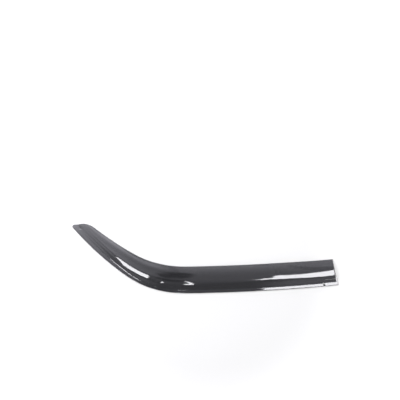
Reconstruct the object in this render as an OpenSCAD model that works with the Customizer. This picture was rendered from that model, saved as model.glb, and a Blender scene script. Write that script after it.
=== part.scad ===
// Window rain deflector for a front side door: a smoked acrylic moulding and its foam tape.
// It lies tape down with its outer face up. Millimetres, +Z up, +X from the nose to the rear end.
// The moulding is one lofted shell. A spot on it is given by s, the distance along the outer
// edge of its flange from the rear corner, and u, the distance inward from that edge.

/* [Flange line in plan] */
// Heading of the flange edge at the rear corner, off -X
rear_heading = -5.55; // [-12:0.01:0]
// Bow of the rear run, in degrees
rear_bow = 4.48; // [0:0.01:8]
// Length of the rear run
rear_run = 494; // [400:1:600]
// Length of the bend at the front pillar
bend_run = 306; // [200:1:400]
// Turn of the bend, in degrees
bend_turn = 30; // [20:0.1:40]
// Bow of the front leg, in degrees
front_bow = 10.9; // [0:0.1:15]
// Length of the flange edge, from the rear corner to the tip
length = 1035; // [900:1:1200]

/* [Width in plan] */
// Width from the flange edge to the free edge
body_w = 92.5; // [70:0.5:110]
// Loss of width per millimetre along the front leg
taper = 0.121; // [0:0.001:0.2]
// Where the taper sets in
taper_at = 660; // [500:1:800]
// Softness of the start of the taper
taper_soft = 60; // [10:1:120]
// Slant of the cut at the tip, in degrees off square
cut = 40.5; // [20:0.5:60]
// Radius where the free edge turns into the cut
nose_r = 71.5; // [30:0.5:100]
// Radius of the tip corner
tip_r = 7; // [3:0.5:12]

/* [Section] */
// Wall of the moulding
wall = 2.6; // [2:0.1:4]
// Rounding along every edge
edge_r = 0.9; // [0.3:0.1:1.2]
// Width of the flange
flange_w = 9; // [8:0.5:16]
// Distance from the flange edge to the top of the long wall, at the rear end
wall_top_rear = 31.5; // [25:0.5:45]
// The same in the bend
wall_top_bend = 22; // [18:0.5:32]
// The same at the nose
wall_top_nose = 38; // [18:0.5:42]
// Distance from the flange edge to the crest, at the rear end
crest_at_rear = 38; // [30:0.5:50]
// The same in the bend
crest_at_bend = 44; // [30:0.5:50]
// The same at the nose
crest_at_nose = 40; // [20:0.5:45]
// Where the crest starts to move inward for the bend
crest_to_bend_at = 100; // [50:5:300]
// Run of that move
crest_to_bend_run = 400; // [200:5:500]
// Where the section starts to flatten for the nose
nose_from = 760; // [650:5:850]
// Run of that change
nose_run = 150; // [80:5:250]
// Share of the long wall that its hollow foot takes
wall_foot = 0.12; // [0.05:0.01:0.4]
// Share of the long wall that its rounded top takes
wall_round = 0.5; // [0.1:0.05:0.6]
// Radius of the shoulder between the wall and the crest
shoulder_r = 60; // [30:1:120]
// Rise of the crest above the flange, at the rear end
crest_rear = 17.3; // [10:0.1:25]
// The same at the nose
crest_nose = 7; // [4:0.1:15]
// Rise of the free edge above the flange, along the rear run
edge_mid = 12.3; // [5:0.1:20]
// The same at the rear end
edge_rear = 1.9; // [0.5:0.1:10]
// The same at the nose
edge_nose = 5; // [2:0.1:12]
// How the face falls from the crest to the free edge: 2 is even, more keeps the crest flat
fall = 2.5; // [1.5:0.1:4]
// Run of the changes next to the rear end
rear_blend = 220; // [100:5:400]
// Where the section starts to sink toward the nose
sink_at = 400; // [300:5:600]
// Run of that sinking
sink_run = 560; // [300:5:600]
// Where the long wall starts to narrow
narrow_at = 300; // [200:5:500]
// Run of that narrowing
narrow_run = 400; // [200:5:500]

/* [Rear end] */
// Width of the flange that turns round the rear end
end_flange = 5; // [4:0.5:12]
// Strip left of it beside the free edge
end_foot = 1; // [0.5:0.1:3]
// Distance from the flange edge at which that flange starts to narrow
end_narrow_at = 18; // [12:1:40]
// Run in which it narrows
end_narrow_run = 30; // [10:1:50]
// Run in which the end wall rises
end_rise = 2; // [2:0.1:8]
// Place of the relief slit in the flange
slit_at = 47.5; // [30:0.5:80]
// Width of the slit
slit_w = 5.5; // [2:0.1:7]
// Lean of the slit, in degrees
slit_lean = 20; // [0:1:30]

/* [Tip pad] */
// Depth of the flat pad behind the cut
pad_depth = 17; // [8:0.5:25]
// Length of the pad along the cut
pad_len = 30; // [15:0.5:45]
// Slant of the pad's inner end, as a share of its depth
pad_slant = 0.4; // [0:0.1:1]
// Run of the step from the pad up to the body
pad_rise = 4; // [2:0.5:8]

/* [Foam tape] */
// Thickness of the tape
tape_t = 1.1; // [0.8:0.1:2]
// Width of the tape
tape_w = 6.5; // [5:0.5:7]
// Margin between the flange edge and the tape
tape_in = 1; // [0.5:0.1:1.5]
// Distance from the rear corner to the tape
tape_from = 2.5; // [1:0.5:10]
// Distance from the tape to the tip
tape_short = 18; // [12:0.5:40]

/* [Hidden] */

front_run = length - rear_run - bend_run;
path_step = 2.5;
tip_zone = 60;
turn_run = 130;
turn_from = length - tip_zone - turn_run;
end_wall_to = end_flange + end_rise + wall;
even_from = 28;

function clamp(t, lo, hi) = min(hi, max(lo, t));
function ramp(t) = let (c = clamp(t, 0, 1)) c * c * (3 - 2 * c);
function ramp_area(t) = let (c = clamp(t, 0, 1)) c * c * c * (1 - c / 2);
function steps(a, b, n) = [for (k = [1 : n]) a + (b - a) * k / n];

// The flange line: its heading, its points and the spot that lies u inward of it
function heading(s) =
    let (rear_rate = rear_bow / rear_run, front_rate = front_bow / front_run,
         t = (s - rear_run) / bend_run, past = max(0, s - rear_run - bend_run))
    rear_heading + rear_rate * s
    + (front_rate - rear_rate) * (bend_run * ramp_area(t) + past) + bend_turn * ramp(t);
function along(a) = [-cos(a), sin(a)];
flange_path = [for (k = 0, p = [0, 0]; k * path_step <= length + 2 * path_step;
    p = p + path_step * along(heading((k + 0.5) * path_step)), k = k + 1) p];
function edge_spot(s) =
    let (k = floor(s / path_step), f = s / path_step - k)
    flange_path[k] * (1 - f) + flange_path[k + 1] * f;
function spot(s, u) = edge_spot(s) + u * [sin(heading(s)), cos(heading(s))];

// Width of the piece, with the cut at the tip and its two rounded corners
function width(s) = let (k = s - taper_at) body_w - taper * (norm([k, taper_soft]) + k) / 2;
function cut_hit(s, n = 20) = n == 0 ? s : cut_hit(length - width(s) * tan(cut), n - 1);
nose_s = cut_hit(length);
nose_u = width(nose_s);
free_dir = atan((width(nose_s + edge_r) - width(nose_s - edge_r)) / (2 * edge_r));
nose_back = nose_r * tan((free_dir + 90 - cut) / 2);
nose_c = [nose_s, nose_u] - nose_back * [cos(free_dir), sin(free_dir)]
    + nose_r * [sin(free_dir), -cos(free_dir)];
tip_back = tip_r / tan((90 - cut) / 2);
tip_c = [length - tip_back, tip_r];
cut_dir = [sin(cut), -cos(cut)];
cut_mid_u = (nose_u + (tip_back - nose_back) * cos(cut)) / 2;
function behind_cut(s, u) = (length - s) * cos(cut) - u * sin(cut);
function along_cut(s, u) = (length - s) * sin(cut) + u * cos(cut);
function rounded_off(p, c, r, from_dir, to_dir) =
    (p - c) * from_dir > 0 && (p - c) * to_dir < 0 && norm(p - c) > r + 1e-6;
function inside(s, u) = u >= 0 && u <= width(s) && behind_cut(s, u) >= -1e-6
    && !rounded_off([s, u], nose_c, nose_r, [cos(free_dir), sin(free_dir)], cut_dir)
    && !rounded_off([s, u], tip_c, tip_r, cut_dir, [-1, 0]);

// The section at s: the long wall climbs from the flange to the shoulder, the shoulder rounds
// over to the crest, and the face falls from there to the free edge
function near_rear(s) = 1 - ramp(s / rear_blend);
function near_nose(s) = ramp((s - sink_at) / sink_run);
function to_nose(s) = ramp((s - nose_from) / nose_run);
function wall_top(s) = wall_top_rear + (wall_top_bend - wall_top_rear) * ramp((s - narrow_at) / narrow_run)
    + (wall_top_nose - wall_top_bend) * to_nose(s);
function crest_at(s) = crest_at_rear
    + (crest_at_bend - crest_at_rear) * ramp((s - crest_to_bend_at) / crest_to_bend_run)
    + (crest_at_nose - crest_at_bend) * to_nose(s);
function crest_rise(s) = crest_rear + (crest_nose - crest_rear) * near_nose(s);
function edge_rise(s) = edge_mid + (edge_rear - edge_mid) * near_rear(s) + (edge_nose - edge_mid) * near_nose(s);
function face(s, u) =
    let (c = crest_at(s), h = crest_rise(s))
    u < c ? h - pow(c - u, 2) / (2 * shoulder_r)
          : h - (h - edge_rise(s)) * pow((u - c) / (width(s) - c), fall);
wall_slope = 2 / (2 - wall_foot - wall_round);
function climb(t) =
    let (c = clamp(t, 0, 1))
    c < wall_foot ? wall_slope * c * c / (2 * wall_foot)
    : c < 1 - wall_round ? wall_slope * (c - wall_foot / 2)
    : 1 - wall_slope * pow(1 - c, 2) / (2 * wall_round);
function pad_step(s, u, shift) =
    let (q = behind_cut(s, u), a = along_cut(s, u) - pad_slant * q)
    1 - (1 - ramp((q - pad_depth - shift) / pad_rise)) * (1 - ramp((a - pad_len - shift) / pad_rise));

// The inner skin lies this far behind a wall that climbs by rise within run
function inset(rise, run) = wall * tan(atan(1.5 * rise / run) / 2);
function body(s, u, inner) =
    let (run = wall_top(s) - flange_w, h = crest_rise(s))
    face(s, u) * climb((u - flange_w - inner * inset(h, run)) / run)
    * ramp((s - end_flange - inner * inset(h, end_rise)) / end_rise)
    * pad_step(s, u, inner * inset(crest_nose, pad_rise));
function rim(d) = d >= edge_r ? 0 : edge_r - sqrt(edge_r * edge_r - pow(edge_r - d, 2));

// Cross lines of the loft: square to the flange, turning parallel to the cut toward the tip
function end_trim(u) = (end_flange - end_foot) * ramp((u - end_narrow_at) / end_narrow_run);
function line_s(k, u) = k + (k < end_flange ? end_trim(u) * (1 - k / end_flange) : 0)
    - u * tan(cut) * ramp((k - turn_from) / turn_run);
function reach(k, in_u, out_u, n = 24) =
    n == 0 ? in_u
    : let (m = (in_u + out_u) / 2)
      inside(line_s(k, m), m) ? reach(k, m, out_u, n - 1) : reach(k, in_u, m, n - 1);
function line_us(k) =
    let (lo = k < turn_from ? 0 : reach(k, cut_mid_u, -edge_r),
         hi = k < turn_from ? width(k) : reach(k, cut_mid_u, 2 * body_w),
         span = hi - lo,
         fl = clamp(flange_w, lo + 0.05 * span, lo + 0.3 * span),
         top = clamp(wall_top(k), fl + 0.05 * span, lo + 0.5 * span),
         foot = fl + 2 * wall_foot * (top - fl),
         cr = clamp(crest_at(k), top + 0.05 * span, lo + 0.75 * span))
    concat([lo, lo + edge_r / 3, lo + edge_r], steps(lo + edge_r, fl, 1), steps(fl, foot, 3), steps(foot, top, 8),
           steps(top, cr, 3), steps(cr, hi - edge_r, 7), [hi - edge_r / 3, hi]);
stations = concat([0, edge_r / 3, edge_r], steps(edge_r, end_flange, 2), steps(end_flange, end_wall_to, 8),
    steps(end_wall_to, even_from, 4), steps(even_from, turn_from, 51), steps(turn_from, length - tip_zone, 14),
    steps(length - tip_zone, length - edge_r, 18), [length - edge_r / 3, length]);

grid = [for (k = stations) let (us = line_us(k)) [for (u = us)
    let (s = line_s(k, u), p = spot(s, u),
         d = rim(min(u - us[0], us[len(us) - 1] - u, k, (length - k) * cos(cut))))
    [p[0], p[1], tape_t + wall + body(s, u, 0) - d, tape_t + body(s, u, 1) + d]]];
flat_grid = [for (row = grid) each row];
function middle(v) = (min(v) + max(v)) / 2;
mid_x = middle([for (p = flat_grid) p[0]]);
mid_y = middle([for (p = flat_grid) p[1]]);

// Faces of the shell: outer skin, inner skin, and the band round their edge
rows = len(stations);
cols = len(grid[0]);
skin = rows * cols;
function quad(a, b, c, d) = [[a, b, c], [a, c, d]];
shell_faces = concat(
    [for (i = [0 : rows - 2], j = [0 : cols - 2]) let (a = i * cols + j, b = a + cols)
        each concat(quad(a, b, b + 1, a + 1), quad(skin + a, skin + a + 1, skin + b + 1, skin + b))],
    [for (i = [0 : rows - 2]) let (a = i * cols, b = a + cols, c = a + cols - 1, d = c + cols)
        each concat(quad(a, skin + a, skin + b, b), quad(c, d, skin + d, skin + c))],
    [for (j = [0 : cols - 2]) let (a = j, b = (rows - 1) * cols + j)
        each concat(quad(a, a + 1, skin + a + 1, skin + a), quad(b, skin + b, skin + b + 1, b + 1))]);

module shell() {
    polyhedron(points = concat([for (p = flat_grid) [p[0], p[1], p[2]]], [for (p = flat_grid) [p[0], p[1], p[3]]]),
               faces = shell_faces, convexity = 6);
}

module relief_slit() {
    foot = edge_spot(slit_at);
    translate([foot[0], foot[1], 0])
        rotate([0, 0, slit_lean - heading(slit_at)])
            translate([-slit_w / 2, -slit_w, 0])
                cube([slit_w, slit_w + flange_w, tape_t + 2 * wall]);
}

module visor() {
    color([0.10, 0.10, 0.11])
        translate([-mid_x, -mid_y, 0])
            difference() {
                shell();
                relief_slit();
            }
}

module tape() {
    run = steps(tape_from, length - tape_short, 84);
    line = concat([tape_from], run);
    color([0.04, 0.04, 0.04])
        translate([-mid_x, -mid_y, 0])
            linear_extrude(tape_t)
                polygon(concat([for (s = line) spot(s, tape_in)],
                    [for (k = [len(line) - 1 : -1 : 0]) spot(line[k], tape_in + tape_w)]));
}

visor();
tape();
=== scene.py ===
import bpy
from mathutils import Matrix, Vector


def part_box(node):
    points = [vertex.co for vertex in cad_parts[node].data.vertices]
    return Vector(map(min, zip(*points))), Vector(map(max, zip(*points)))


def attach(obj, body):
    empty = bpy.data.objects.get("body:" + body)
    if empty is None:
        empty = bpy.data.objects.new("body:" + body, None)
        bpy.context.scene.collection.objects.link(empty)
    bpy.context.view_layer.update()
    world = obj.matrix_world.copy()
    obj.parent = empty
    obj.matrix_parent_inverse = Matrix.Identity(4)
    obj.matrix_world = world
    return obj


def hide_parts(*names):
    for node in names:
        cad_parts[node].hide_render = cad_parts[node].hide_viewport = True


bl_info = {
    "name": "Window Rain Deflector",
    "version": (1, 0, 0),
    "blender": (4, 5, 0),
    "location": "3D View > Sidebar > Deflector",
    "description": "A smoked acrylic window rain deflector on its foam tape, lit on a pale studio table",
    "category": "Add Mesh",
}

import math

import bmesh
import bpy
from bpy.props import FloatProperty, FloatVectorProperty, IntProperty, PointerProperty
from bpy.types import Operator, Panel, PropertyGroup
from mathutils import Matrix, Vector

MM = 0.001
VISOR_NODE = "visor"
TAPE_NODE = "tape"
BODY = "root"
CREASE = math.radians(50)  # a sharper fold than this shades as an edge
HAZE = (0.4, 0.75)  # from where to where a noise turns the polish from full to dull
SENSOR = 36  # width of the camera's frame in mm

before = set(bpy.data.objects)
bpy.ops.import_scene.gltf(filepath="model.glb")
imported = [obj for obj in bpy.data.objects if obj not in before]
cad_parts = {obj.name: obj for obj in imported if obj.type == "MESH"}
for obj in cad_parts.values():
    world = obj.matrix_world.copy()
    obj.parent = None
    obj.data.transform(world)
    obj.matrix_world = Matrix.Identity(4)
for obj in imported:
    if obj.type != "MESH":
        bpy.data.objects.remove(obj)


def length(name, description, mm):
    """A size in metres, given here in millimetres."""
    return FloatProperty(name=name, description=description, default=mm * MM, unit="LENGTH", precision=4)


def angle(name, description, degrees):
    return FloatProperty(name=name, description=description, default=math.radians(degrees), subtype="ANGLE")


def number(name, description, value):
    return FloatProperty(name=name, description=description, default=value, precision=4)


def colour(name, description, value):
    return FloatVectorProperty(
        name=name, description=description, default=value, size=3, subtype="COLOR", min=0, max=1
    )


class FlangeLine(PropertyGroup):
    """The flange edge in plan, and the width inward from it."""

    rear_heading: angle("Rear heading", "Heading of the flange edge at the rear corner, off -X", -5.55)
    rear_bow: angle("Rear bow", "Bow of the rear run", 4.48)
    rear_run: length("Rear run", "Length of the rear run", 494)
    bend_run: length("Bend run", "Length of the bend at the front pillar", 306)
    bend_turn: angle("Bend turn", "Turn of the bend", 30)
    front_bow: angle("Front bow", "Bow of the front leg", 10.9)
    length: length("Length", "Length of the flange edge, from the rear corner to the tip", 1035)
    body_w: length("Width", "Width from the flange edge to the free edge", 92.5)
    taper: number("Taper", "Loss of width per unit of length along the front leg", 0.121)
    taper_at: length("Taper start", "Where the taper sets in", 660)
    taper_soft: length("Taper softness", "Softness of the start of the taper", 60)
    cut: angle("Tip cut", "Slant of the cut at the tip, off square", 40.5)
    nose_r: length("Nose radius", "Radius where the free edge turns into the cut", 71.5)
    tip_r: length("Tip radius", "Radius of the tip corner", 7)


class CrossSection(PropertyGroup):
    """The section: flange, long wall, shoulder, crest and face."""

    wall: length("Wall", "Thickness of the moulding", 2.6)
    edge_r: length("Edge radius", "Rounding along every edge", 0.9)
    flange_w: length("Flange", "Width of the flange", 9)
    wall_top_rear: length("Wall top, rear", "From the flange edge to the wall's top, at the rear end", 31.5)
    wall_top_bend: length("Wall top, bend", "The same in the bend", 22)
    wall_top_nose: length("Wall top, nose", "The same at the nose", 38)
    crest_at_rear: length("Crest, rear", "From the flange edge to the crest, at the rear end", 38)
    crest_at_bend: length("Crest, bend", "The same in the bend", 44)
    crest_at_nose: length("Crest, nose", "The same at the nose", 40)
    crest_to_bend_at: length("Crest shift start", "Where the crest starts to move inward for the bend", 100)
    crest_to_bend_run: length("Crest shift run", "Run of that move", 400)
    nose_from: length("Nose start", "Where the section starts to flatten for the nose", 760)
    nose_run: length("Nose run", "Run of that change", 150)
    wall_foot: number("Wall foot", "Share of the wall that its hollow foot takes", 0.12)
    wall_round: number("Wall top rounding", "Share of the wall that its rounded top takes", 0.5)
    shoulder_r: length("Shoulder radius", "Radius of the shoulder between the wall and the crest", 60)
    crest_rear: length("Crest rise, rear", "Rise of the crest above the flange, at the rear end", 17.3)
    crest_nose: length("Crest rise, nose", "The same at the nose", 7)
    edge_mid: length("Free edge rise", "Rise of the free edge above the flange, along the rear run", 12.3)
    edge_rear: length("Free edge rise, rear", "The same at the rear end", 1.9)
    edge_nose: length("Free edge rise, nose", "The same at the nose", 5)
    fall: number("Fall", "How the face falls to the free edge: 2 is even, more keeps the crest flat", 2.5)
    rear_blend: length("Rear blend", "Run of the changes next to the rear end", 220)
    sink_at: length("Sink start", "Where the section starts to sink toward the nose", 400)
    sink_run: length("Sink run", "Run of that sinking", 560)
    narrow_at: length("Narrowing start", "Where the long wall starts to narrow", 300)
    narrow_run: length("Narrowing run", "Run of that narrowing", 400)
    rows: IntProperty(name="Rows", description="Cross lines in the loft of the long run", default=250)


class EndDetails(PropertyGroup):
    """The flange round the rear end, its relief slit, the pad at the tip and the tape's thickness."""

    end_flange: length("End flange", "Width of the flange that turns round the rear end", 5)
    end_foot: length("End foot", "Strip left of it beside the free edge", 1)
    end_narrow_at: length("End narrowing start", "From the flange edge to where it starts to narrow", 18)
    end_narrow_run: length("End narrowing run", "Run in which it narrows", 30)
    end_rise: length("End wall run", "Run in which the end wall rises and rounds over", 9)
    end_round: number("End wall rounding", "1 is an even rise, more is steeper with a rounder top", 5.5)
    corner_extra: length("Corner flange", "Extra width of the flange from the slit to the rear end", 1.7)
    slit_at: length("Slit place", "Place of the relief slit in the flange", 47.5)
    slit_w: length("Slit width", "Width of the slit", 5.5)
    slit_lean: angle("Slit lean", "Lean of the slit", 20)
    slit_reach: length("Slit reach", "How far the slit runs into the foot of the wall", 3.5)
    pad_depth: length("Pad depth", "Depth of the flat pad behind the cut", 17)
    pad_len: length("Pad length", "Length of the pad along the cut", 30)
    pad_slant: number("Pad slant", "Slant of the pad's inner end, as a share of its depth", 0.4)
    pad_rise: length("Pad step", "Run of the step from the pad up to the body", 4)
    tape_t: length("Tape thickness", "Thickness of the foam tape under the flange", 1.1)


class Finish(PropertyGroup):
    """Colours and gloss of the acrylic and the foam."""

    smoke: colour("Smoke", "Body colour of the acrylic", (0.012, 0.013, 0.014))
    cover: number("Cover", "How much light one skin of the acrylic stops", 0.8)
    acrylic_rough: number("Roughness", "Roughness of the polished acrylic", 0.035)
    acrylic_ior: number("Index", "Refractive index of the acrylic", 1.49)
    polish: number("Polish", "Strength of the hard top coat", 1.0)
    polish_ior: number("Polish index", "Refractive index of the hard top coat", 1.75)
    ripple_size: length("Ripple size", "Size of the moulding's faint ripples", 45)
    ripple_depth: length("Ripple depth", "Depth of those ripples", 0.006)
    haze_size: length("Haze size", "Size of the patches of slightly duller polish", 60)
    haze_dull: number("Haze dulling", "How many times as rough the dullest patch is", 3)
    foam: colour("Foam", "Colour of the foam tape", (0.012, 0.012, 0.012))
    foam_rough: number("Foam roughness", "Roughness of the foam", 0.92)
    foam_cell: length("Foam cell", "Size of the foam's cells", 0.45)
    foam_dent: number("Foam dent", "Depth of a cell's dent, as a share of the cell", 0.25)
    foam_patch: number("Foam patch", "Size of the paler patches, in cells", 14)
    foam_pale: number("Foam paling", "How many times as pale the palest patch is", 2.2)


class Studio(PropertyGroup):
    """The table, the light and the camera."""

    elevation: angle("Camera elevation", "Height of the camera above the table", 72)
    distance: length("Camera distance", "From the camera to the point it aims at", 2248.6)
    aim: FloatVectorProperty(
        name="Camera aim",
        description="Point that the camera looks at",
        default=(-0.01195, 0.217, 0),
        size=3,
        subtype="XYZ",
        unit="LENGTH",
    )
    lens: FloatProperty(
        name="Lens", description="Focal length on a 36 mm frame", default=55.44, unit="CAMERA"
    )
    table_size: length("Table", "Side of the pale table top", 9000)
    table: colour("Table colour", "Colour of the table top", (0.74, 0.748, 0.705))
    table_fill: number("Table fill", "Strength that the camera and gloss see on the table", 0.12)
    table_far: number("Table fill, far", "The same out at the corners of the view", 0.6)
    fade_from: length("Fade start", "From the table's middle to where the far fill sets in", 350)
    fade_to: length("Fade end", "From the table's middle to where the far fill is full", 750)
    panel_height: length("Panel height", "Height of the softboxes above the table", 1500)
    key_light: number("Key light", "Radiance of the softbox at the rear end", 9.5)
    side_light: number("Side light", "Radiance of the softboxes at the nose", 9.8)
    screen_side: number("Screen, side", "Radiance that the screen gains away from the object", 1.45)
    screen_back: number("Screen, back", "Radiance that it gains toward its back", 2.25)
    screen_low: number("Screen, low", "Radiance that it gains far beside the nose", 1.75)
    screen_corner: number("Screen, corner", "Radiance that it gains in its corner over the tip", 0.9)
    shade: number("Shade", "Radiance of the dim shades", 0.1)
    room_front: number("Room, front", "Radiance of the room on the camera's side", 0.245)
    room_top: number("Room, top", "Radiance of the ceiling", 0.5)
    room_back: number("Room, back", "Radiance of the room behind the free edge", 1.0)
    room_corner: number("Room, corners", "Radiance that the room's two front corners add", 0.35)
    room_tint: colour("Room tint", "Colour of the room light", (0.92, 0.905, 1.0))
    lamp_tint: colour("Lamp tint", "Colour of the softboxes", (0.97, 0.965, 1.0))


def clamp(t, lo, hi):
    return min(hi, max(lo, t))


def ramp(t):
    """An S-shaped rise from 0 to 1 as t goes from 0 to 1."""
    c = clamp(t, 0.0, 1.0)
    return c * c * (3 - 2 * c)


def ramp_area(t):
    """The area under the ramp up to t."""
    c = clamp(t, 0.0, 1.0)
    return c * c * c * (1 - c / 2)


def steps(a, b, n):
    """The ends of n even steps from a to b."""
    return [a + (b - a) * k / n for k in range(1, n + 1)]


class Moulding:
    """The shell as two skins over s and u.

    s is the distance along the flange edge from the rear corner, and u the distance inward from it.
    """

    path_step = 1.0 * MM  # between the points of the flange line
    even_from = 28 * MM  # where the rows take an even spacing
    turn_run = 130 * MM  # in which the cross lines turn parallel to the cut
    tip_zone = 60 * MM  # the closely spaced rows before the tip
    rounding = (0.0, 0.076, 0.293, 0.617, 1.0)  # lines round an edge, as shares of its radius

    # Rows in the zones between those places, and lines in each band of the section
    end_flange_rows, end_wall_rows, end_rows, turn_rows, tip_rows = 5, 30, 8, 42, 60
    flange_lines, wall_lines, shoulder_lines, face_lines = 7, 36, 12, 32

    # Where the foot, the wall's top and the crest lie at most on a short cross line, and the
    # least gap between them, all as shares of the line
    least_gap, foot_most, top_most, crest_most = 0.05, 0.3, 0.5, 0.75

    steepest = 1.5  # the steepest slope of a ramp, over its mean slope
    cut_tries = 20  # tries that place the cut's corner
    halvings = 26  # halvings that find the end of a cross line
    hair = 1e-9  # what counts as on the line

    def __init__(self, *groups):
        for group in groups:
            for key in group.__annotations__:
                setattr(self, key, getattr(group, key))
        self.front_run = self.length - self.rear_run - self.bend_run
        self.turn_from = self.length - self.tip_zone - self.turn_run
        self.lay_path()
        self.place_cut()

    # Plan
    def heading(self, s):
        rear_rate, front_rate = self.rear_bow / self.rear_run, self.front_bow / self.front_run
        t = (s - self.rear_run) / self.bend_run
        past = max(0.0, s - self.rear_run - self.bend_run)
        return (
            self.rear_heading
            + rear_rate * s
            + (front_rate - rear_rate) * (self.bend_run * ramp_area(t) + past)
            + self.bend_turn * ramp(t)
        )

    def lay_path(self):
        self.path = [(0.0, 0.0)]
        while (len(self.path) - 1) * self.path_step <= self.length + 2 * self.path_step:
            a = self.heading((len(self.path) - 0.5) * self.path_step)
            x, y = self.path[-1]
            self.path.append((x - self.path_step * math.cos(a), y + self.path_step * math.sin(a)))

    def spot(self, s, u):
        """The place in plan of a point of the shell."""
        k = min(len(self.path) - 2, max(0, int(s / self.path_step)))
        f = s / self.path_step - k
        (x0, y0), (x1, y1) = self.path[k], self.path[k + 1]
        a = self.heading(s)
        return x0 + f * (x1 - x0) + u * math.sin(a), y0 + f * (y1 - y0) + u * math.cos(a)

    def width(self, s):
        k = s - self.taper_at
        return self.body_w - self.taper * (math.hypot(k, self.taper_soft) + k) / 2

    def place_cut(self):
        """Finds the slanted cut and the centres of its two rounded corners."""
        s = self.length
        for _ in range(self.cut_tries):
            s = self.length - self.width(s) * math.tan(self.cut)
        r = self.edge_r
        free_dir = math.atan((self.width(s + r) - self.width(s - r)) / (2 * r))
        back = self.nose_r * math.tan((free_dir + math.pi / 2 - self.cut) / 2)
        self.along_free = Vector((math.cos(free_dir), math.sin(free_dir)))
        self.along_cut_dir = Vector((math.sin(self.cut), -math.cos(self.cut)))
        square_to_free = Vector((math.sin(free_dir), -math.cos(free_dir)))
        self.nose_c = Vector((s, self.width(s))) - back * self.along_free + self.nose_r * square_to_free
        tip_back = self.tip_r / math.tan((math.pi / 2 - self.cut) / 2)
        self.tip_c = Vector((self.length - tip_back, self.tip_r))
        self.cut_mid_u = (self.width(s) + (tip_back - back) * math.cos(self.cut)) / 2

    def behind_cut(self, s, u):
        return (self.length - s) * math.cos(self.cut) - u * math.sin(self.cut)

    def along_cut(self, s, u):
        return (self.length - s) * math.sin(self.cut) + u * math.cos(self.cut)

    def inside(self, s, u):
        if u < 0 or u > self.width(s) or self.behind_cut(s, u) < -self.hair:
            return False
        for centre, radius, come, go in (
            (self.nose_c, self.nose_r, self.along_free, self.along_cut_dir),
            (self.tip_c, self.tip_r, self.along_cut_dir, Vector((-1, 0))),
        ):
            off = Vector((s, u)) - centre
            if off.dot(come) > 0 and off.dot(go) < 0 and off.length > radius + self.hair:
                return False
        return True

    # Section
    def near_rear(self, s):
        return 1 - ramp(s / self.rear_blend)

    def near_nose(self, s):
        return ramp((s - self.sink_at) / self.sink_run)

    def flange_to(self, s):
        """Width of the flange, with its extra behind the slit."""
        before_slit = ramp((s - self.slit_at) / (2 * self.slit_w) + 0.5)
        return self.flange_w + self.corner_extra * (1 - before_slit)

    def wall_top(self, s):
        return (
            self.wall_top_rear
            + (self.wall_top_bend - self.wall_top_rear) * ramp((s - self.narrow_at) / self.narrow_run)
            + (self.wall_top_nose - self.wall_top_bend) * ramp((s - self.nose_from) / self.nose_run)
        )

    def crest_at(self, s):
        to_bend = ramp((s - self.crest_to_bend_at) / self.crest_to_bend_run)
        return (
            self.crest_at_rear
            + (self.crest_at_bend - self.crest_at_rear) * to_bend
            + (self.crest_at_nose - self.crest_at_bend) * ramp((s - self.nose_from) / self.nose_run)
        )

    def crest_rise(self, s):
        return self.crest_rear + (self.crest_nose - self.crest_rear) * self.near_nose(s)

    def edge_rise(self, s):
        return (
            self.edge_mid
            + (self.edge_rear - self.edge_mid) * self.near_rear(s)
            + (self.edge_nose - self.edge_mid) * self.near_nose(s)
        )

    def face(self, s, u):
        """Height of the shoulder and of the face that falls to the free edge."""
        c, h = self.crest_at(s), self.crest_rise(s)
        if u < c:
            return h - (c - u) ** 2 / (2 * self.shoulder_r)
        return h - (h - self.edge_rise(s)) * ((u - c) / (self.width(s) - c)) ** self.fall

    def climb(self, t):
        """Rise of the long wall: a tight hollow foot, an even slope and a rounder top."""
        c = clamp(t, 0.0, 1.0)
        foot, top = self.wall_foot, self.wall_round
        slope = 2 / (2 - foot - top)
        if c < foot:
            return slope * c * c / (2 * foot)
        if c < 1 - top:
            return slope * (c - foot / 2)
        return 1 - slope * (1 - c) ** 2 / (2 * top)

    def end_climb(self, t):
        """Rise of the end wall: steep at once, then rounding over into the face."""
        return 1 - (1 - clamp(t, 0.0, 1.0)) ** self.end_round

    def pad_step(self, s, u, shift):
        """0 on the pad at the tip, 1 on the body."""
        q = self.behind_cut(s, u)
        a = self.along_cut(s, u) - self.pad_slant * q
        behind = ramp((q - self.pad_depth - shift) / self.pad_rise)
        beside = ramp((a - self.pad_len - shift) / self.pad_rise)
        return 1 - (1 - behind) * (1 - beside)

    def inset(self, rise, run):
        """How far the inner skin lies behind a wall that climbs by rise within run."""
        return self.wall * math.tan(math.atan(self.steepest * rise / run) / 2)

    def body(self, s, u, inner):
        """Height above the flange; inner is 0 for the outer skin and 1 for the inner one."""
        foot, h = self.flange_to(s), self.crest_rise(s)
        run = self.wall_top(s) - foot
        return (
            self.face(s, u)
            * self.climb((u - foot - inner * self.inset(h, run)) / run)
            * self.end_climb((s - self.end_flange - inner * self.inset(h, self.end_rise)) / self.end_rise)
            * self.pad_step(s, u, inner * self.inset(self.crest_nose, self.pad_rise))
        )

    def rim(self, d):
        """How far the rounding lowers the skin at a distance d from the edge."""
        if d >= self.edge_r:
            return 0.0
        return self.edge_r - math.sqrt(self.edge_r**2 - (self.edge_r - d) ** 2)

    # Cross lines of the loft: square to the flange, turning parallel to the cut toward the tip
    def line_s(self, k, u):
        trim = (self.end_flange - self.end_foot) * ramp((u - self.end_narrow_at) / self.end_narrow_run)
        pulled = trim * (1 - k / self.end_flange) if k < self.end_flange else 0.0
        return k + pulled - u * math.tan(self.cut) * ramp((k - self.turn_from) / self.turn_run)

    def reach(self, k, in_u, out_u):
        """The end of a cross line, between a spot inside the outline and one outside."""
        for _ in range(self.halvings):
            m = (in_u + out_u) / 2
            if self.inside(self.line_s(k, m), m):
                in_u = m
            else:
                out_u = m
        return in_u

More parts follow.
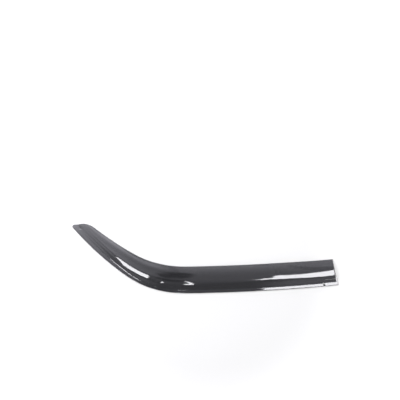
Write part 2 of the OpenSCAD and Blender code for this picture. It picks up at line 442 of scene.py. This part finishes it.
    def line_us(self, k):
        if k < self.turn_from:
            lo, hi = 0.0, self.width(k)
        else:
            lo = self.reach(k, self.cut_mid_u, -self.edge_r)
            hi = self.reach(k, self.cut_mid_u, 2 * self.body_w)
        span, r = hi - lo, self.edge_r
        gap = self.least_gap * span
        foot = clamp(self.flange_to(k), lo + gap, lo + self.foot_most * span)
        top = clamp(self.wall_top(k), foot + gap, lo + self.top_most * span)
        crest = clamp(self.crest_at(k), top + gap, lo + self.crest_most * span)
        return (
            [lo + r * t for t in self.rounding]
            + steps(lo + r, foot, self.flange_lines)
            + steps(foot, top, self.wall_lines)
            + steps(top, crest, self.shoulder_lines)
            + steps(crest, hi - r, self.face_lines)
            + [hi - r * t for t in self.rounding[-2::-1]]
        )

    def stations(self):
        r, end_wall = self.edge_r, self.end_flange + self.end_rise + self.wall
        return (
            [r * t for t in self.rounding]
            + steps(r, self.end_flange, self.end_flange_rows)
            + steps(self.end_flange, end_wall, self.end_wall_rows)
            + steps(end_wall, self.even_from, self.end_rows)
            + steps(self.even_from, self.turn_from, self.rows)
            + steps(self.turn_from, self.length - self.tip_zone, self.turn_rows)
            + steps(self.length - self.tip_zone, self.length - r, self.tip_rows)
            + [self.length - r * t for t in self.rounding[-2::-1]]
        )

    def skins(self):
        """The rows of the outer skin and of the inner skin, as points in plan with their heights."""
        outer, inner = [], []
        for k in self.stations():
            us = self.line_us(k)
            upper, lower = [], []
            for u in us:
                s = self.line_s(k, u)
                x, y = self.spot(s, u)
                edge = min(u - us[0], us[-1] - u, k, (self.length - k) * math.cos(self.cut))
                drop = self.rim(max(0.0, edge))
                upper.append(Vector((x, y, self.tape_t + self.wall + self.body(s, u, 0) - drop)))
                lower.append(Vector((x, y, self.tape_t + self.body(s, u, 1) + drop)))
            outer.append(upper)
            inner.append(lower)
        return outer, inner


def collect(piece):
    bpy.context.scene.collection.objects.link(piece)
    return piece


def mesh_object(name, verts, faces):
    mesh = bpy.data.meshes.new(name)
    mesh.from_pydata(verts, [], faces)
    mesh.update()
    return collect(bpy.data.objects.new(name, mesh))


def loft_shell(name, outer, inner):
    """One closed shell from two skins of the same rows, joined round their edge."""
    rows, cols = len(outer), len(outer[0])
    verts = [p for row in outer for p in row] + [p for row in inner for p in row]
    skin = rows * cols
    faces = []
    for i in range(rows - 1):
        for j in range(cols - 1):
            a, b = i * cols + j, (i + 1) * cols + j
            faces.append((a, b, b + 1, a + 1))
            faces.append((skin + a, skin + a + 1, skin + b + 1, skin + b))
        a, b = i * cols, (i + 1) * cols
        faces.append((a, skin + a, skin + b, b))
        a, b = a + cols - 1, b + cols - 1
        faces.append((a, b, skin + b, skin + a))
    last = (rows - 1) * cols
    for j in range(cols - 1):
        faces.append((j, j + 1, skin + j + 1, skin + j))
        faces.append((last + j, skin + last + j, skin + last + j + 1, last + j + 1))
    return mesh_object(name, verts, faces)


def centre_like(piece, node):
    """Moves the mesh so that its own box has the plan centre of a CAD node's box."""
    lo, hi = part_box(node)
    xs = [v.co.x for v in piece.data.vertices]
    ys = [v.co.y for v in piece.data.vertices]
    shift = Vector(((lo.x + hi.x - min(xs) - max(xs)) / 2, (lo.y + hi.y - min(ys) - max(ys)) / 2, 0))
    piece.data.transform(Matrix.Translation(shift))
    return shift


def apply_modifiers(piece):
    evaluated = piece.evaluated_get(bpy.context.evaluated_depsgraph_get())
    mesh = bpy.data.meshes.new_from_object(evaluated)
    piece.modifiers.clear()
    piece.data = mesh


def cut_slit(piece, moulding, shift):
    """Takes the relief slit out of the flange and the foot of the wall."""
    x, y = moulding.spot(moulding.slit_at, 0)
    place = Matrix.Translation(Vector((x, y, 0)) + shift)
    turn = Matrix.Rotation(moulding.slit_lean - moulding.heading(moulding.slit_at), 4, "Z")
    across, inward, outward = moulding.slit_w, moulding.flange_w + moulding.slit_reach, moulding.slit_w
    top = moulding.tape_t + 3 * moulding.wall  # well clear of the flange and of the wall's foot
    bm = bmesh.new()
    bmesh.ops.create_cube(bm, size=1)
    bmesh.ops.scale(bm, vec=(across, inward + outward, top), verts=bm.verts)
    bmesh.ops.translate(bm, vec=(0, (inward - outward) / 2, top / 2), verts=bm.verts)
    bm.transform(place @ turn)
    mesh = bpy.data.meshes.new("slit_cutter")
    bm.to_mesh(mesh)
    bm.free()
    cutter = collect(bpy.data.objects.new("slit_cutter", mesh))
    cut = piece.modifiers.new("relief slit", "BOOLEAN")
    cut.operation = "DIFFERENCE"
    cut.solver = "EXACT"
    cut.object = cutter
    apply_modifiers(piece)
    bpy.data.objects.remove(cutter)


def new_material(name, settings):
    """A material whose surface has the given settings, with its node tree and its shader."""
    material = bpy.data.materials.new(name)
    material.use_nodes = True
    shader = material.node_tree.nodes["Principled BSDF"]
    for socket, setting in settings.items():
        shader.inputs[socket].default_value = setting
    return material, material.node_tree, shader


def own_place(tree):
    """The object's own coordinates."""
    return tree.nodes.new("ShaderNodeTexCoord").outputs["Object"]


def noise(tree, size, detail):
    """A noise of about the given feature size, in the object's own coordinates."""
    texture = tree.nodes.new("ShaderNodeTexNoise")
    texture.inputs["Scale"].default_value = 1 / size
    texture.inputs["Detail"].default_value = detail
    tree.links.new(own_place(tree), texture.inputs["Vector"])
    return texture.outputs["Fac"]


def map_range(tree, value, from_range, to_range, kind="SMOOTHSTEP"):
    """Takes a value from one range to another, held at their ends."""
    node = tree.nodes.new("ShaderNodeMapRange")
    node.interpolation_type = kind
    limits = (*from_range, *to_range)
    for socket, limit in zip(("From Min", "From Max", "To Min", "To Max"), limits):
        node.inputs[socket].default_value = limit
    tree.links.new(value, node.inputs["Value"])
    return node.outputs["Result"]


def combine(tree, operation, *values):
    """One value from several, such as their sum."""
    total = values[0]
    for value in values[1:]:
        node = tree.nodes.new("ShaderNodeMath")
        node.operation = operation
        tree.links.new(total, node.inputs[0])
        tree.links.new(value, node.inputs[1])
        total = node.outputs["Value"]
    return total


def plan_axes(tree, vector):
    parts = tree.nodes.new("ShaderNodeSeparateXYZ")
    tree.links.new(vector, parts.inputs["Vector"])
    return parts.outputs["X"], parts.outputs["Y"]


def length_of(tree, vector):
    node = tree.nodes.new("ShaderNodeVectorMath")
    node.operation = "LENGTH"
    tree.links.new(vector, node.inputs[0])
    return node.outputs["Value"]


def bump(tree, shader, height, depth):
    """Bumps a shader by a height between 0 and 1, which stands for depth."""
    node = tree.nodes.new("ShaderNodeBump")
    node.inputs["Strength"].default_value = 1.0
    node.inputs["Distance"].default_value = depth
    tree.links.new(height, node.inputs["Height"])
    tree.links.new(node.outputs["Normal"], shader.inputs["Normal"])
    return node.outputs["Normal"]


def smoked_acrylic(finish):
    """Polished acrylic with a smoke tint: see-through, with a moulding's faint ripples and duller patches."""
    material, tree, shader = new_material(
        "smoked acrylic",
        {
            "Base Color": (*finish.smoke, 1),
            "IOR": finish.acrylic_ior,
            "Coat Weight": finish.polish,
            "Coat IOR": finish.polish_ior,
            "Coat Roughness": finish.acrylic_rough,
            "Alpha": finish.cover,
        },
    )
    haze = noise(tree, finish.haze_size, detail=4.0)
    roughs = (finish.acrylic_rough, finish.haze_dull * finish.acrylic_rough)
    tree.links.new(map_range(tree, haze, HAZE, roughs, "LINEAR"), shader.inputs["Roughness"])
    ripple = bump(tree, shader, noise(tree, finish.ripple_size, detail=0.0), finish.ripple_depth)
    tree.links.new(ripple, shader.inputs["Coat Normal"])
    return material


def foam_tape(finish):
    """Closed-cell acrylic foam: matt, nearly black, with open cells on its cut sides."""
    material, tree, shader = new_material("foam tape", {"Roughness": finish.foam_rough})
    mix = tree.nodes.new("ShaderNodeMix")
    mix.data_type = "RGBA"
    mix.inputs["A"].default_value = (*finish.foam, 1)
    mix.inputs["B"].default_value = (*[finish.foam_pale * c for c in finish.foam], 1)
    patches = noise(tree, finish.foam_patch * finish.foam_cell, detail=3.0)
    tree.links.new(patches, mix.inputs["Factor"])
    tree.links.new(mix.outputs["Result"], shader.inputs["Base Color"])
    cells = tree.nodes.new("ShaderNodeTexVoronoi")
    cells.inputs["Scale"].default_value = 1 / finish.foam_cell
    tree.links.new(own_place(tree), cells.inputs["Vector"])
    bump(tree, shader, cells.outputs["Distance"], finish.foam_dent * finish.foam_cell)
    return material


def table_top(studio):
    """A pale table top, white to the camera out to the corners of its view."""
    material, tree, shader = new_material(
        "pale table",
        {
            "Base Color": (*studio.table, 1),
            "Roughness": 0.9,
            "Specular IOR Level": 0.1,
            "Emission Color": (1, 1, 1, 1),
        },
    )
    away = length_of(tree, own_place(tree))
    fade, fills = (studio.fade_from, studio.fade_to), (studio.table_fill, studio.table_far)
    fill = map_range(tree, away, fade, fills)
    rays = tree.nodes.new("ShaderNodeLightPath").outputs
    seen = combine(
        tree, "MAXIMUM", rays["Is Camera Ray"], rays["Is Glossy Ray"], rays["Is Transmission Ray"]
    )
    tree.links.new(combine(tree, "MULTIPLY", fill, seen), shader.inputs["Emission Strength"])
    return material


def even_glow(name, strength, tint):
    """The even glow of a softbox, and what the screen and the shades start from."""
    material = bpy.data.materials.new(name)
    material.use_nodes = True
    tree = material.node_tree
    tree.nodes.clear()
    glow = tree.nodes.new("ShaderNodeEmission")
    glow.inputs["Strength"].default_value = strength
    glow.inputs["Color"].default_value = (*tint, 1)
    out = tree.nodes.new("ShaderNodeOutputMaterial")
    tree.links.new(glow.outputs["Emission"], out.inputs["Surface"])
    return material


def screen_glow(studio):
    """The screen glows like the ceiling next to the object, and more in the zones of SCREEN_GAINS."""
    material = even_glow("screen", studio.room_top, studio.room_tint)
    tree = material.node_tree
    x, y = plan_axes(tree, own_place(tree))
    level = tree.nodes.new("ShaderNodeValue")
    level.outputs[0].default_value = studio.room_top
    gains = [
        combine(
            tree,
            "MULTIPLY",
            map_range(tree, x, [v * MM for v in xs], (0.0, getattr(studio, gain))),
            map_range(tree, y, [v * MM for v in ys], (0.0, 1.0)),
        )
        for gain, (xs, ys) in SCREEN_GAINS.items()
    ]
    total = combine(tree, "ADD", level.outputs[0], *gains)
    tree.links.new(total, tree.nodes["Emission"].inputs["Strength"])
    return material


def shade_glow(name, studio, centre, radii, depth):
    """A dim round shade that is clear at its rim."""
    material = even_glow(name, studio.shade, studio.room_tint)
    tree = material.node_tree
    mapping = tree.nodes.new("ShaderNodeMapping")
    mapping.inputs["Scale"].default_value = [1 / (r * MM) for r in radii] + [0]
    mapping.inputs["Location"].default_value = [-c / r for c, r in zip(centre, radii)] + [0]
    tree.links.new(own_place(tree), mapping.inputs["Vector"])
    away = length_of(tree, mapping.outputs["Vector"])
    mix = tree.nodes.new("ShaderNodeMixShader")
    tree.links.new(map_range(tree, away, SHADE_RIM, (depth, 0.0)), mix.inputs["Fac"])
    clear = tree.nodes.new("ShaderNodeBsdfTransparent")
    tree.links.new(clear.outputs["BSDF"], mix.inputs[1])
    tree.links.new(tree.nodes["Emission"].outputs["Emission"], mix.inputs[2])
    tree.links.new(mix.outputs["Shader"], tree.nodes["Material Output"].inputs["Surface"])
    return material


def ellipse(centre, radii, sides=32):
    turns = [2 * math.pi * k / sides for k in range(sides)]
    return [(centre[0] + radii[0] * math.cos(a), centre[1] + radii[1] * math.sin(a)) for a in turns]


def room_light(studio):
    """A plain room: darker on the camera's side, paler behind the object and in its front corners."""
    world = bpy.data.worlds.new("room")
    world.use_nodes = True
    tree = world.node_tree
    x, y = plan_axes(tree, tree.nodes.new("ShaderNodeTexCoord").outputs["Generated"])
    front, top, back = studio.room_front, studio.room_top, studio.room_back
    ahead = map_range(tree, y, ROOM["ahead"], (0.0, 1.0))
    corners = [
        combine(tree, "MULTIPLY", map_range(tree, x, ROOM[side], (0.0, studio.room_corner)), ahead)
        for side in ("right corner", "left corner")
    ]
    level = combine(
        tree,
        "ADD",
        map_range(tree, y, ROOM["front to top"], (front, top)),
        map_range(tree, y, ROOM["top to back"], (0.0, back - top)),
        *corners,
    )
    background = tree.nodes["Background"]
    background.inputs["Color"].default_value = (*studio.room_tint, 1)
    tree.links.new(level, background.inputs["Strength"])
    return world


SOFTBOXES = {  # the light that each one belongs to, and its corners in mm
    "softbox_right": (
        "key_light",
        (
            *((300, -50), (326, -75), (362, -45), (409, -20), (459, -28), (508, -32), (545, -22)),
            *((583, -32), (624, -65), (663, -80), (703, -110), (778, -118), (800, 0), (1177, 280)),
            *((870, 590), (766, 500), (743, 450), (709, 402), (674, 373), (639, 343), (605, 305)),
            *((570, 293), (534, 277), (499, 265), (460, 268), (437, 265), (428, 246), (418, 210)),
            *((398, 172), (368, 168), (366, 132), (350, 60), (326, -42)),
        ),
    ),
    "softbox_left": (
        "side_light",
        (
            *((-535, -85), (-650, -55), (-780, -45), (-855, -15), (-925, -85)),
            *((-1037, -273), (-1185, -478), (-1060, -505), (-755, -560)),
        ),
    ),
    "softbox_slim": (
        "side_light",
        ((-558, -710), (-538, -735), (-485, -618), (-460, -465), (-501, -531)),
    ),
    "softbox_front": (
        "side_light",
        (
            *((-160, -60), (-121, -255), (-81, -615), (-103, -735), (-135, -745), (-191, -690)),
            *((-187, -580), (-137, -545), (-132, -415), (-150, -235), (-166, -75)),
        ),
    ),
}
SCREEN = ((-200, 0), (-900, 0), (-900, -1300), (-2600, -1300), (-2600, 1600), (-200, 1600))  # in mm
SCREEN_GAINS = {  # from where to where each gain grows, along X and along Y, in mm
    "screen_side": ((-200, -900), (-100, 400)),
    "screen_back": ((-190, -310), (450, 1000)),
    "screen_low": ((-900, -1600), (-900, 200)),
    "screen_corner": ((-730, -800), (430, 520)),
}
SHADES = {  # centre and radii in mm, and how much the shade hides
    "shade_front": ((-300, -60), (225, 300), 1.0),
    "shade_back": ((-200, 370), (130, 215), 0.95),
    "shade_mid": ((-290, 290), (85, 110), 0.9),
    "shade_right": ((740, 850), (200, 450), 0.38),
}
SHADE_RIM = (0.4, 1.0)  # from where to where a shade clears, as shares of its radii
SCREEN_LIFT = 20  # how far the screen hangs above the softboxes, in mm
SHADE_LIFT = 5  # the same for the first shade, and from each shade to the next
ROOM = {  # where the room's light changes, along the X or Y of a direction
    "front to top": (-0.5, 0.25),
    "top to back": (0.2, 0.6),
    "ahead": (0.0, -0.5),
    "right corner": (0.12, 0.24),
    "left corner": (-0.3, -0.6),
}


class DeflectorSettings(PropertyGroup):
    """All sizes, colours and lights."""

    line: PointerProperty(type=FlangeLine)
    section: PointerProperty(type=CrossSection)
    ends: PointerProperty(type=EndDetails)
    finish: PointerProperty(type=Finish)
    studio: PointerProperty(type=Studio)


class DEFLECTOR_OT_moulding(Operator):
    """Build the smoked acrylic moulding over its CAD shape"""

    bl_idname = "deflector.moulding"
    bl_label = "Moulding"
    bl_options = {"REGISTER", "UNDO"}

    def execute(self, context):
        settings = context.scene.deflector
        moulding = Moulding(settings.line, settings.section, settings.ends)
        piece = loft_shell("moulding", *moulding.skins())
        shift = centre_like(piece, VISOR_NODE)
        cut_slit(piece, moulding, shift)
        piece.data.polygons.foreach_set("use_smooth", [True] * len(piece.data.polygons))
        piece.data.set_sharp_from_angle(angle=CREASE)
        piece.data.materials.clear()
        piece.data.materials.append(smoked_acrylic(settings.finish))
        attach(piece, BODY)
        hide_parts(VISOR_NODE)
        return {"FINISHED"}


class DEFLECTOR_OT_tape(Operator):
    """Give the foam tape under the flange its material"""

    bl_idname = "deflector.tape"
    bl_label = "Foam tape"
    bl_options = {"REGISTER", "UNDO"}

    def execute(self, context):
        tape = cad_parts[TAPE_NODE]
        foam = foam_tape(context.scene.deflector.finish)
        if tape.material_slots:
            tape.material_slots[0].material = foam
        else:
            tape.data.materials.append(foam)
        return {"FINISHED"}


class DEFLECTOR_OT_studio(Operator):
    """Set up the table, the softboxes, the room light and the camera"""

    bl_idname = "deflector.studio"
    bl_label = "Studio"
    bl_options = {"REGISTER", "UNDO"}

    def hang(self, studio, name, corners, above, material):
        """Hangs a flat panel over the table, level and hidden from the camera."""
        verts = [(x * MM, y * MM, studio.panel_height + above * MM) for x, y in corners]
        panel = mesh_object(name, verts, [tuple(range(len(verts)))])
        panel.data.materials.append(material)
        panel.visible_camera = False

    def lay_table(self, studio):
        half = studio.table_size / 2
        corners = [(-half, -half, 0), (half, -half, 0), (half, half, 0), (-half, half, 0)]
        table = mesh_object("table", corners, [(0, 1, 2, 3)])
        table.data.materials.append(table_top(studio))

    def aim_camera(self, scene, studio):
        camera = collect(bpy.data.objects.new("camera", bpy.data.cameras.new("camera")))
        camera.data.lens = studio.lens
        camera.data.sensor_width = SENSOR
        camera.rotation_euler = (math.pi / 2 - studio.elevation, 0, 0)
        back = Vector((0, -math.cos(studio.elevation), math.sin(studio.elevation)))
        camera.location = Vector(studio.aim) + studio.distance * back
        scene.camera = camera

    def execute(self, context):
        scene, studio = context.scene, context.scene.deflector.studio
        self.lay_table(studio)
        for name, (light, corners) in SOFTBOXES.items():
            glow = even_glow(name, getattr(studio, light), studio.lamp_tint)
            self.hang(studio, name, corners, 0, glow)
        self.hang(studio, "screen", SCREEN, SCREEN_LIFT, screen_glow(studio))
        for k, (name, (centre, radii, depth)) in enumerate(SHADES.items(), 1):
            glow = shade_glow(name, studio, centre, radii, depth)
            self.hang(studio, name, ellipse(centre, radii), k * SHADE_LIFT, glow)
        scene.world = room_light(studio)
        self.aim_camera(scene, studio)
        scene.view_settings.view_transform = "Standard"
        return {"FINISHED"}


class DEFLECTOR_PT_sidebar(Panel):
    """The operators and all settings in the sidebar"""

    bl_label = "Rain deflector"
    bl_idname = "DEFLECTOR_PT_sidebar"
    bl_space_type = "VIEW_3D"
    bl_region_type = "UI"
    bl_category = "Deflector"

    def draw(self, context):
        settings = context.scene.deflector
        for operator in OPERATORS:
            self.layout.operator(operator.bl_idname)
        for part in DeflectorSettings.__annotations__:
            group = getattr(settings, part)
            box = self.layout.box()
            box.label(text=group.__class__.__name__)
            for key in group.__annotations__:
                box.prop(group, key)


OPERATORS = (DEFLECTOR_OT_moulding, DEFLECTOR_OT_tape, DEFLECTOR_OT_studio)
GROUPS = (FlangeLine, CrossSection, EndDetails, Finish, Studio, DeflectorSettings)
CLASSES = (*GROUPS, *OPERATORS, DEFLECTOR_PT_sidebar)


def register():
    for cls in CLASSES:
        bpy.utils.register_class(cls)
    bpy.types.Scene.deflector = PointerProperty(type=DeflectorSettings)


def unregister():
    del bpy.types.Scene.deflector
    for cls in reversed(CLASSES):
        bpy.utils.unregister_class(cls)


def main():
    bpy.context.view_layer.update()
    register()
    bpy.ops.deflector.moulding()
    bpy.ops.deflector.tape()
    bpy.ops.deflector.studio()


if __name__ == "__main__":
    main()
